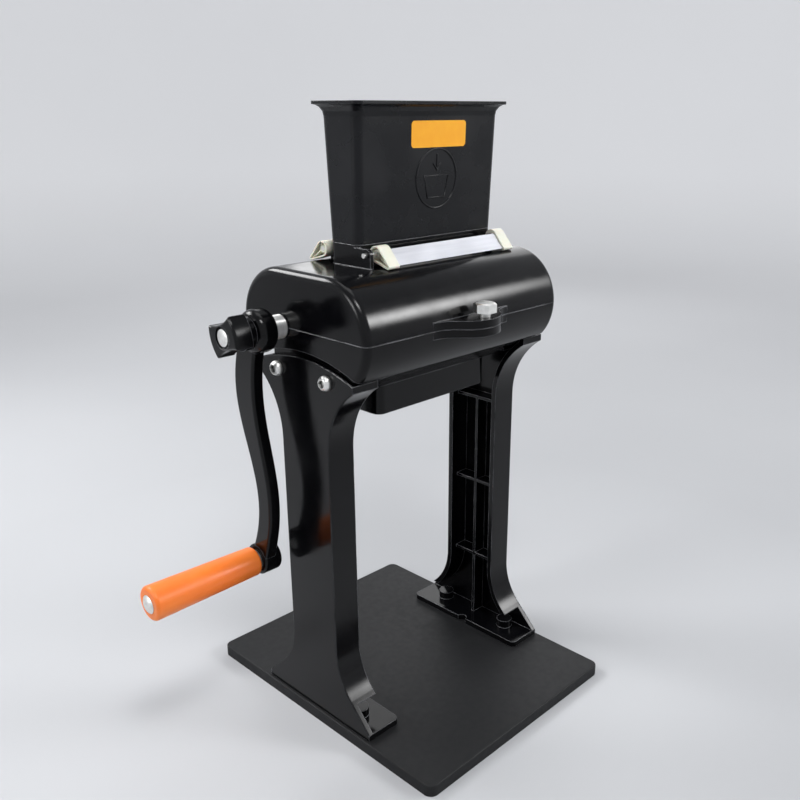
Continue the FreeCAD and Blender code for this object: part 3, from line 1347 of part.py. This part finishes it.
make_comb("rear_comb", "", int(value("blade_count")))
make_shaft_collar()
make_crank_arm()
make_crank_knob()
make_knob_stud()
make_grip_spindle()
make_grip()
make_grip_washer()
doc.recompute()

for item in doc.Objects:
    if "Invalid" in item.State or "Error" in item.State:
        raise ValueError(f"{item.Label} did not build: {item.State}")
for node in SUBPARTS:
    if node.Shape.isNull() or not node.Shape.isValid():
        raise ValueError(f"{node.Label} has no valid shape")
os.makedirs("parts", exist_ok=True)
for node in SUBPARTS:
    node.Shape.exportStep(f"parts/{node.Label}.step")
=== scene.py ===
import json
import math

import bpy
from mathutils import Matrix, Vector


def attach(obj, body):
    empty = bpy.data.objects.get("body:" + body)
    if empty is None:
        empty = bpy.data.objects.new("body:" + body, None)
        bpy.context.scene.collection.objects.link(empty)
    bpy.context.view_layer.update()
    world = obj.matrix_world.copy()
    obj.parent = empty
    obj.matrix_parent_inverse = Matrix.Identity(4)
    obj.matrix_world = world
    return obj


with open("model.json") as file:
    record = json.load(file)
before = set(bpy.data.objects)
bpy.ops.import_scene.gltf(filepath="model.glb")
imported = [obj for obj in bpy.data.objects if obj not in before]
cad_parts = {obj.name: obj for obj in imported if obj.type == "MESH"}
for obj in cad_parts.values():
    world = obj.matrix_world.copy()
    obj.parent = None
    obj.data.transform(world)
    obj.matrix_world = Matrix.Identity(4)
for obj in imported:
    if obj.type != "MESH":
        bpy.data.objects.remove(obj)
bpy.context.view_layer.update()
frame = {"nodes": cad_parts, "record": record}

MILLIMETRE = 0.001


# ---------------------------------------------------------------- materials
#
# Colours are linear RGB. Lengths in materials, such as bump heights and edge radii, are in metres.

class Nodes:
    """Small helper that adds linked shader nodes to one material."""

    def __init__(self, name):
        self.material = bpy.data.materials.new(name)
        self.material.use_nodes = True
        self.tree = self.material.node_tree
        self.tree.nodes.clear()
        self.output = self.add("ShaderNodeOutputMaterial")
        self.shader = self.add("ShaderNodeBsdfPrincipled")
        self.link(self.shader, "BSDF", self.output, "Surface")
        self.place = self.add("ShaderNodeTexCoord")

    def add(self, kind, **settings):
        node = self.tree.nodes.new(kind)
        for name, setting in settings.items():
            setattr(node, name, setting)
        return node

    def link(self, source, output, target, entry):
        self.tree.links.new(source.outputs[output], target.inputs[entry])

    def set(self, **sockets):
        """Sets sockets of the shader; an underscore stands for a space in their names."""
        for name, setting in sockets.items():
            self.shader.inputs[name.replace("_", " ")].default_value = setting

    def insert(self, node, entry, result, name):
        """Puts a node between a socket of the shader and what feeds it."""
        socket = self.shader.inputs[name]
        self.tree.links.new(socket.links[0].from_socket, node.inputs[entry])
        self.tree.links.new(node.outputs[result], socket)

    def noise(self, scale, detail, roughness=0.5, stretch=(1, 1, 1)):
        mapping = self.add("ShaderNodeMapping")
        mapping.inputs["Scale"].default_value = stretch
        self.link(self.place, "Object", mapping, "Vector")
        noise = self.add("ShaderNodeTexNoise")
        noise.inputs["Scale"].default_value = scale
        noise.inputs["Detail"].default_value = detail
        noise.inputs["Roughness"].default_value = roughness
        self.link(mapping, "Vector", noise, "Vector")
        return noise

    def map_range(self, source, output, start, end, low=0.0, high=1.0):
        """Maps the range from start to end to the range from low to high."""
        ranged = self.add("ShaderNodeMapRange")
        ranged.inputs["From Min"].default_value = start
        ranged.inputs["From Max"].default_value = end
        ranged.inputs["To Min"].default_value = low
        ranged.inputs["To Max"].default_value = high
        self.link(source, output, ranged, "Value")
        return ranged

    def vary(self, noise, low, high):
        """Spreads a noise, most of which lies between 0.35 and 0.65, over a range of numbers."""
        return self.map_range(noise, "Fac", 0.35, 0.65, low, high)

    def colour(self, noise, first, second):
        """Base colour between two colours, mixed by a noise."""
        ramp = self.add("ShaderNodeValToRGB")
        for element, position, colour in zip(ramp.color_ramp.elements, (0.3, 0.7),
                                             (first, second)):
            element.position = position
            element.color = (*colour, 1)
        self.link(noise, "Fac", ramp, "Fac")
        self.link(ramp, "Color", self.shader, "Base Color")

    def roughen(self, noise, low, high):
        self.link(self.vary(noise, low, high), "Result", self.shader, "Roughness")

    def soft_edges(self, radius):
        """Normal that turns smoothly over the sharp edges of a casting or a moulding."""
        bevel = self.add("ShaderNodeBevel", samples=4)
        bevel.inputs["Radius"].default_value = radius
        return bevel

    def rub_and_highlight_edges(self, bevel, colour, rougher):
        """Paler and rougher lines along the soft edges: partly finish rubbed there, partly a
        painted highlight standing in for the light that the edges catch.
        """
        surface = self.add("ShaderNodeNewGeometry")
        turned = self.add("ShaderNodeVectorMath", operation="DOT_PRODUCT")
        self.link(bevel, "Normal", turned, 0)
        self.link(surface, "Normal", turned, 1)
        edge = self.map_range(turned, "Value", start=0.975, end=0.80)
        wear_and_highlight = self.add("ShaderNodeMath", operation="MULTIPLY")
        self.link(edge, "Result", wear_and_highlight, 0)
        patches = self.vary(self.noise(scale=45, detail=3), low=0.25, high=1.0)
        self.link(patches, "Result", wear_and_highlight, 1)
        # Painted highlight and wear: the base colour turns towards the given pale colour along the
        # edges.
        paler = self.add("ShaderNodeMix", data_type="RGBA")
        paler.inputs["B"].default_value = (*colour, 1)
        self.insert(paler, "A", "Result", "Base Color")
        self.link(wear_and_highlight, "Value", paler, "Factor")
        duller = self.add("ShaderNodeMath", operation="MULTIPLY_ADD")
        duller.inputs[1].default_value = rougher
        self.insert(duller, 2, "Value", "Roughness")
        self.link(wear_and_highlight, "Value", duller, 0)

    def paint_shade_in_hollows(self, reach, colour):
        """Painted shade: the base colour darkens towards the given dark colour in sockets and
        corners, as far as an ambient occlusion mask reaches.
        """
        open_sky = self.add("ShaderNodeAmbientOcclusion", samples=8)
        open_sky.inputs["Distance"].default_value = reach
        unoccluded = self.map_range(open_sky, "AO", start=0.35, end=0.85)
        painted_shade = self.add("ShaderNodeMix", data_type="RGBA")
        painted_shade.inputs["A"].default_value = (*colour, 1)
        self.link(unoccluded, "Result", painted_shade, "Factor")
        self.insert(painted_shade, "B", "Result", "Base Color")

    def bump(self, noise, height, strength, over=None):
        """Bump of a real height, laid over an earlier normal if there is one."""
        bump = self.add("ShaderNodeBump")
        bump.inputs["Strength"].default_value = strength
        bump.inputs["Distance"].default_value = height
        self.link(noise, "Fac", bump, "Height")
        if over:
            self.link(over, "Normal", bump, "Normal")
        self.link(bump, "Normal", self.shader, "Normal")
        return bump


def gloss_paint():
    """Glossy black enamel on cast metal, with a faint orange peel and some dust in it."""
    made = Nodes("gloss_paint")
    made.set(Specular_IOR_Level=0.24, IOR=1.5)
    made.colour(made.noise(scale=14, detail=3),
                (0.0010, 0.0010, 0.0014), (0.0022, 0.0023, 0.0030))
    made.roughen(made.noise(scale=55, detail=4), low=0.12, high=0.20)
    edges = made.soft_edges(radius=0.0013)
    # Painted highlight and rubbed paint: pale grey lines along the edges of the enamel.
    made.rub_and_highlight_edges(edges, (0.250, 0.255, 0.275), rougher=0.20)
    waves = made.bump(made.noise(scale=16, detail=1), height=0.0003, strength=0.07, over=edges)
    made.bump(made.noise(scale=420, detail=2), height=0.00004, strength=0.30, over=waves)
    return made.material


def hopper_plastic():
    """Black moulded plastic, satin, with a soft flow pattern."""
    made = Nodes("hopper_plastic")
    made.set(Specular_IOR_Level=0.26, IOR=1.48)
    made.colour(made.noise(scale=11, detail=4, stretch=(1, 1, 0.35)),
                (0.0018, 0.0020, 0.0028), (0.0070, 0.0076, 0.0094))
    made.roughen(made.noise(scale=24, detail=5), low=0.20, high=0.38)
    edges = made.soft_edges(radius=0.0009)
    # Painted highlight and rubbed plastic: pale lines along the moulding's edges.
    made.rub_and_highlight_edges(edges, (0.110, 0.113, 0.122), rougher=0.12)
    waves = made.bump(made.noise(scale=16, detail=1), height=0.0004, strength=0.12, over=edges)
    made.bump(made.noise(scale=900, detail=3), height=0.00003, strength=0.5, over=waves)
    return made.material


def base_board():
    """Matte black board with a fine grain."""
    made = Nodes("base_board")
    made.set(Specular_IOR_Level=0.22)
    made.colour(made.noise(scale=5, detail=3),
                (0.0100, 0.0104, 0.0112), (0.0128, 0.0132, 0.0142))
    made.roughen(made.noise(scale=160, detail=4), low=0.50, high=0.58)
    edges = made.soft_edges(radius=0.0009)
    # Painted highlight and rubbed finish: pale lines along the board's edges.
    made.rub_and_highlight_edges(edges, (0.075, 0.078, 0.084), rougher=0.10)
    made.bump(made.noise(scale=1100, detail=3), height=0.00008, strength=0.6, over=edges)
    return made.material


def metal(name, dark, light, rough, stretch=(1, 1, 1), turned=0.0):
    """Steel or bronze with a grain; turned pieces spread their shine along X."""
    grain = 260
    quarter_turn = 0.25
    made = Nodes(name)
    made.set(Metallic=1.0, Anisotropic=turned,
             Anisotropic_Rotation=quarter_turn if turned else 0.0)
    if turned:
        around = made.add("ShaderNodeTangent", direction_type="RADIAL", axis="X")
        made.link(around, "Tangent", made.shader, "Tangent")
    lines = made.noise(scale=grain, detail=4, roughness=0.6, stretch=stretch)
    made.colour(lines, dark, light)
    # Painted shade: sockets and corners of every metal part darken towards dark grey.
    made.paint_shade_in_hollows(reach=0.003, colour=(0.05, 0.05, 0.05))
    made.roughen(made.noise(scale=grain / 6, detail=3), *rough)
    made.bump(lines, height=0.00002, strength=0.6)
    return made.material


def latch_cream():
    """Cream nylon of the latch ends."""
    made = Nodes("latch_cream")
    made.set(Specular_IOR_Level=0.45, Subsurface_Weight=0.12, Subsurface_Scale=0.002)
    made.colour(made.noise(scale=60, detail=3), (0.800, 0.795, 0.660), (0.880, 0.875, 0.760))
    made.roughen(made.noise(scale=150, detail=3), low=0.32, high=0.46)
    made.bump(made.noise(scale=700, detail=2), height=0.00003, strength=0.5,
              over=made.soft_edges(radius=0.0008))
    return made.material


def grip_orange():
    """Orange moulded plastic of the grip, slightly worn."""
    made = Nodes("grip_orange")
    made.set(Specular_IOR_Level=0.5, Subsurface_Weight=0.06, Subsurface_Scale=0.003)
    made.colour(made.noise(scale=26, detail=4), (0.960, 0.190, 0.022), (1.000, 0.250, 0.036))
    made.roughen(made.noise(scale=90, detail=4), low=0.30, high=0.44)
    made.bump(made.noise(scale=70, detail=2, stretch=(9, 1, 1)), height=0.00005, strength=0.4)
    return made.material


FINISHES = {
    "black_gloss": gloss_paint(),
    "hopper_black": hopper_plastic(),
    "base_black": base_board(),
    "zinc_steel": metal("zinc_steel", (0.70, 0.70, 0.68), (0.86, 0.86, 0.84),
                        rough=(0.34, 0.46)),
    "latch_steel": metal("latch_steel", (0.62, 0.63, 0.67), (0.72, 0.73, 0.77),
                         rough=(0.46, 0.58), stretch=(0.05, 1, 1)),
    "latch_cream": latch_cream(),
    "shaft_steel": metal("shaft_steel", (0.66, 0.66, 0.65), (0.86, 0.86, 0.84),
                         rough=(0.42, 0.52), stretch=(6, 0.3, 0.3), turned=0.85),
    "bush_bronze": metal("bush_bronze", (0.45, 0.27, 0.10), (0.60, 0.38, 0.17),
                         rough=(0.28, 0.40)),
    "blade_steel": metal("blade_steel", (0.58, 0.59, 0.60), (0.74, 0.75, 0.76),
                         rough=(0.20, 0.32)),
    "gear_steel": metal("gear_steel", (0.30, 0.30, 0.31), (0.44, 0.44, 0.45),
                        rough=(0.32, 0.46)),
    "comb_steel": metal("comb_steel", (0.52, 0.53, 0.54), (0.68, 0.69, 0.70),
                        rough=(0.28, 0.40), stretch=(1, 1, 0.08)),
    "grip_orange": grip_orange(),
}

SLOT_OF = {part["node"]: part["material_slot"] for part in frame["record"]["subparts"]}
for name, node in frame["nodes"].items():
    for slot in node.material_slots:
        slot.material = FINISHES[SLOT_OF[name]]


# ---------------------------------------------------------------- hopper face

# The front face of the hopper leans out: at its foot, 434.5 mm up, it is 18 mm in front of the
# middle and 97.5 mm higher it is 21.5 mm in front.
FACE_FOOT = Vector((0, -0.018, 0.4345))
FACE_UP = Vector((0, -0.0035, 0.0975)).normalized()
FACE_OUT = Vector((0, -0.0975, -0.0035)).normalized()
# What lies on the face reaches this far into the wall, in millimetres.
SUNK = -0.1


def on_face(x, height, out):
    """Point at a place along the hopper's front face, a height and a way out, in millimetres."""
    rise = (height * MILLIMETRE - FACE_FOOT.z) / FACE_UP.z
    along = Vector((x * MILLIMETRE, 0, 0))
    return FACE_FOOT + along + FACE_UP * rise + FACE_OUT * (out * MILLIMETRE)


def put_on_hopper(name, data, finish):
    """Makes a piece that moves with the hopper."""
    data.materials.append(finish)
    piece = bpy.data.objects.new(name, data)
    bpy.context.collection.objects.link(piece)
    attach(piece, "hopper")


def label_paper():
    """Plain orange label without print."""
    made = Nodes("label_orange")
    made.set(Specular_IOR_Level=0.4)
    made.colour(made.noise(scale=90, detail=3), (0.960, 0.400, 0.010), (1.000, 0.460, 0.016))
    made.roughen(made.noise(scale=160, detail=3), low=0.34, high=0.46)
    made.bump(made.noise(scale=60, detail=2), height=0.00005, strength=0.3)
    return made.material


def make_label():
    """Blank sticker with round corners near the top of the face; sizes in millimetres."""
    middle_x, middle_z = 20.3, 517.8
    half_x, half_z = 32.7, 10.6
    corner, corner_steps = 3.2, 6
    thickness = 0.25
    ring = []
    for sign_x, sign_z, start in ((1, 1, 0), (-1, 1, 90), (-1, -1, 180), (1, -1, 270)):
        for step in range(corner_steps + 1):
            turn = math.radians(start + 90 * step / corner_steps)
            ring.append((middle_x + sign_x * (half_x - corner) + corner * math.cos(turn),
                         middle_z + sign_z * (half_z - corner) + corner * math.sin(turn)))
    count = len(ring)
    points = [on_face(x, z, out) for out in (SUNK, thickness) for x, z in ring]
    faces = [tuple(range(count, 2 * count)), tuple(reversed(range(count)))]
    faces += [(i, (i + 1) % count, count + (i + 1) % count, count + i) for i in range(count)]
    mesh = bpy.data.meshes.new("hopper_label")
    mesh.from_pydata(points, [], faces)
    put_on_hopper("hopper_label", mesh, label_paper())


def raised_line(name, points, closed=False):
    """Moulded line on the face: a round bead, a little more than half of it in the wall."""
    curve = bpy.data.curves.new(name, "CURVE")
    curve.dimensions = "3D"
    curve.bevel_depth = 0.9 * MILLIMETRE
    curve.bevel_resolution = 3
    curve.use_fill_caps = True
    spline = curve.splines.new("POLY")
    spline.points.add(len(points) - 1)
    for point, (x, z) in zip(spline.points, points):
        point.co = (*on_face(x, z, SUNK), 1)
    spline.use_cyclic_u = closed
    put_on_hopper(name, curve, FINISHES["hopper_black"])


def make_feed_sign():
    """Moulded ring with a feed arrow over a plain trough; sizes in millimetres."""
    middle_x, middle_z = 18.6, 482.0
    radius, steps = 24.3, 72

    def from_middle(*places):
        return [(middle_x + x, middle_z + z) for x, z in places]

    turns = [math.tau * step / steps for step in range(steps)]
    ring = from_middle(*((radius * math.cos(turn), radius * math.sin(turn)) for turn in turns))
    raised_line("feed_ring", ring, closed=True)
    raised_line("feed_arrow_stem", from_middle((0, 20.0), (0, 8.0)))
    raised_line("feed_arrow_head", from_middle((-4.4, 12.4), (0, 7.0), (4.4, 12.4)))
    raised_line("feed_trough", closed=True, points=from_middle(
        (-14.6, 2.5), (-10.4, -15.5), (10.4, -15.5), (14.6, 2.5)))


make_label()
make_feed_sign()


# ---------------------------------------------------------------- stage

def floor_and_backdrop():
    """Pale round floor that curves up into a wall on all sides."""
    inner, radius = 0.8, 3.4
    bend, top = 1.2, 3.2
    steps = 64
    bend_degrees = range(10, 91, 10)
    profile = [(inner, 0.0), (radius - bend, 0.0)]
    profile += [(radius - bend + bend * math.sin(math.radians(degrees)),
                 bend - bend * math.cos(math.radians(degrees))) for degrees in bend_degrees]
    profile.append((radius, top))
    points = []
    for distance, height in profile:
        for step in range(steps):
            turn = math.tau * step / steps
            points.append((distance * math.cos(turn), distance * math.sin(turn), height))
    faces = [tuple(range(steps))]
    for ring in range(len(profile) - 1):
        for step in range(steps):
            here, beside = ring * steps + step, ring * steps + (step + 1) % steps
            faces.append((here, here + steps, beside + steps, beside))
    mesh = bpy.data.meshes.new("floor")
    mesh.from_pydata(points, [], faces)
    mesh.shade_smooth()
    floor = bpy.data.objects.new("floor", mesh)
    bpy.context.collection.objects.link(floor)
    made = Nodes("floor_paper")
    made.set(Specular_IOR_Level=0.0, Roughness=1.0)
    made.colour(made.noise(scale=1.5, detail=2), (0.53, 0.54, 0.56), (0.56, 0.57, 0.59))
    made.bump(made.noise(scale=400, detail=2), height=0.00005, strength=0.3)
    brighten_far_part(made)
    mesh.materials.append(made.material)


def seen_directly(tree):
    """One for camera, mirror and glass rays, nothing for the light that falls on the object."""
    path = tree.nodes.new("ShaderNodeLightPath")
    seen = path.outputs["Is Camera Ray"]
    for kind in ("Is Glossy Ray", "Is Transmission Ray"):
        either = tree.nodes.new("ShaderNodeMath")
        either.operation = "MAXIMUM"
        tree.links.new(seen, either.inputs[0])
        tree.links.new(path.outputs[kind], either.inputs[1])
        seen = either.outputs["Value"]
    return seen


def brighten_far_part(made):
    """The far floor and the backdrop glow where they are seen, and the near floor doesn't."""
    glow_begins, glow_is_full = 0.6, 3.0
    full_glow = 0.5
    reach = made.add("ShaderNodeVectorMath", operation="LENGTH")
    made.link(made.place, "Object", reach, 0)
    glow = made.map_range(reach, "Value", glow_begins, glow_is_full, high=full_glow)
    strength = made.add("ShaderNodeMath", operation="MULTIPLY")
    made.link(glow, "Result", strength, 0)
    made.tree.links.new(seen_directly(made.tree), strength.inputs[1])
    made.link(strength, "Value", made.shader, "Emission Strength")
    made.set(Emission_Color=(0.96, 0.97, 1.0, 1))


def fade_out(lamp):
    """The lamp is brightest in its middle and fades to nothing at its rim."""
    lamp.use_nodes = True
    tree = lamp.node_tree
    place = tree.nodes.new("ShaderNodeNewGeometry")
    # From 0 to 1 across the lamp becomes -1 to 1.
    middle = tree.nodes.new("ShaderNodeVectorMath")
    middle.operation = "MULTIPLY_ADD"
    middle.inputs[1].default_value = (2, 2, 0)
    middle.inputs[2].default_value = (-1, -1, 0)
    radius = tree.nodes.new("ShaderNodeVectorMath")
    radius.operation = "LENGTH"
    fade = tree.nodes.new("ShaderNodeMapRange")
    fade.interpolation_type = "SMOOTHSTEP"
    fade.inputs["From Min"].default_value = 1.0
    fade.inputs["From Max"].default_value = 0.0
    tree.links.new(place.outputs["Parametric"], middle.inputs[0])
    tree.links.new(middle.outputs["Vector"], radius.inputs[0])
    tree.links.new(radius.outputs["Value"], fade.inputs["Value"])
    tree.links.new(fade.outputs["Result"], tree.nodes["Emission"].inputs["Strength"])


def soft_box(name, towards, distance, size, strength, soft=False, spread=180):
    """Area lamp in a direction from the object's middle, facing it; its strength is the
    radiance of its face, and a spread under 180 degrees aims the light."""
    object_middle = Vector((0, 0, 0.33))
    direction = Vector(towards).normalized()
    lamp = bpy.data.lights.new(name, "AREA")
    lamp.shape = "RECTANGLE"
    lamp.size, lamp.size_y = size
    lamp.spread = math.radians(spread)
    lamp.energy = strength * math.pi * size[0] * size[1]
    if soft:
        fade_out(lamp)
    holder = bpy.data.objects.new(name, lamp)
    holder.location = object_middle + direction * distance
    holder.rotation_mode = "QUATERNION"
    holder.rotation_quaternion = direction.to_track_quat("Z", "Y")
    holder.visible_camera = False
    bpy.context.collection.objects.link(holder)


def make_world():
    """Weak bluish light on the object from all sides, and twice as pale where it is seen."""
    light_on_object = 0.25
    added_where_seen = 0.25
    world = bpy.data.worlds.new("studio")
    world.use_nodes = True
    background = world.node_tree.nodes["Background"]
    background.inputs["Color"].default_value = (0.93, 0.95, 1.0, 1)
    strength = world.node_tree.nodes.new("ShaderNodeMath")
    strength.operation = "MULTIPLY_ADD"
    strength.inputs[1].default_value = added_where_seen
    strength.inputs[2].default_value = light_on_object
    world.node_tree.links.new(seen_directly(world.node_tree), strength.inputs[0])
    world.node_tree.links.new(strength.outputs["Value"], background.inputs["Strength"])
    bpy.context.scene.world = world


def make_camera():
    """Camera of the reference view; the principal point lies a little off the middle."""
    image = 800
    focal_pixels = 880.81
    principal_x, principal_y = 425.2, 422.0
    azimuth, elevation = math.radians(-45.783), math.radians(19.598)
    data = bpy.data.cameras.new("camera")
    data.sensor_width = 36
    data.lens = focal_pixels * data.sensor_width / image
    data.shift_x = -(principal_x - image / 2) / image
    data.shift_y = (principal_y - image / 2) / image
    data.clip_start, data.clip_end = 0.01, 50
    camera = bpy.data.objects.new("camera", data)
    camera.location = Vector((-541.2, -551.1, 537.7)) * MILLIMETRE
    back = Vector((math.sin(azimuth) * math.cos(elevation),
                   -math.cos(azimuth) * math.cos(elevation), math.sin(elevation)))
    camera.rotation_mode = "QUATERNION"
    camera.rotation_quaternion = (-back).to_track_quat("-Z", "Y")
    bpy.context.collection.objects.link(camera)
    bpy.context.scene.camera = camera


floor_and_backdrop()
make_world()
make_camera()
soft_box("key", towards=(0.640, -0.665, 0.385), distance=2.4, size=(1.60, 1.10), strength=5.6,
         soft=True, spread=90)
soft_box("top", towards=(0.1, 0.1, 1.0), distance=1.5, size=(1.0, 0.8), strength=1.6)
soft_box("left", towards=(-0.925, 0.163, 0.342), distance=1.8, size=(0.8, 1.0), strength=16,
         soft=True)
soft_box("front", towards=(-0.28, -0.484, 0.829), distance=1.6, size=(0.8, 0.6), strength=32,
         soft=True)
soft_box("back", towards=(0.74, 0.54, 0.41), distance=2.0, size=(1.4, 1.0), strength=1.6)
soft_box("rim", towards=(-0.38, 0.76, 0.60), distance=1.4, size=(0.6, 0.45), strength=15)
bpy.context.scene.view_settings.view_transform = "Standard"
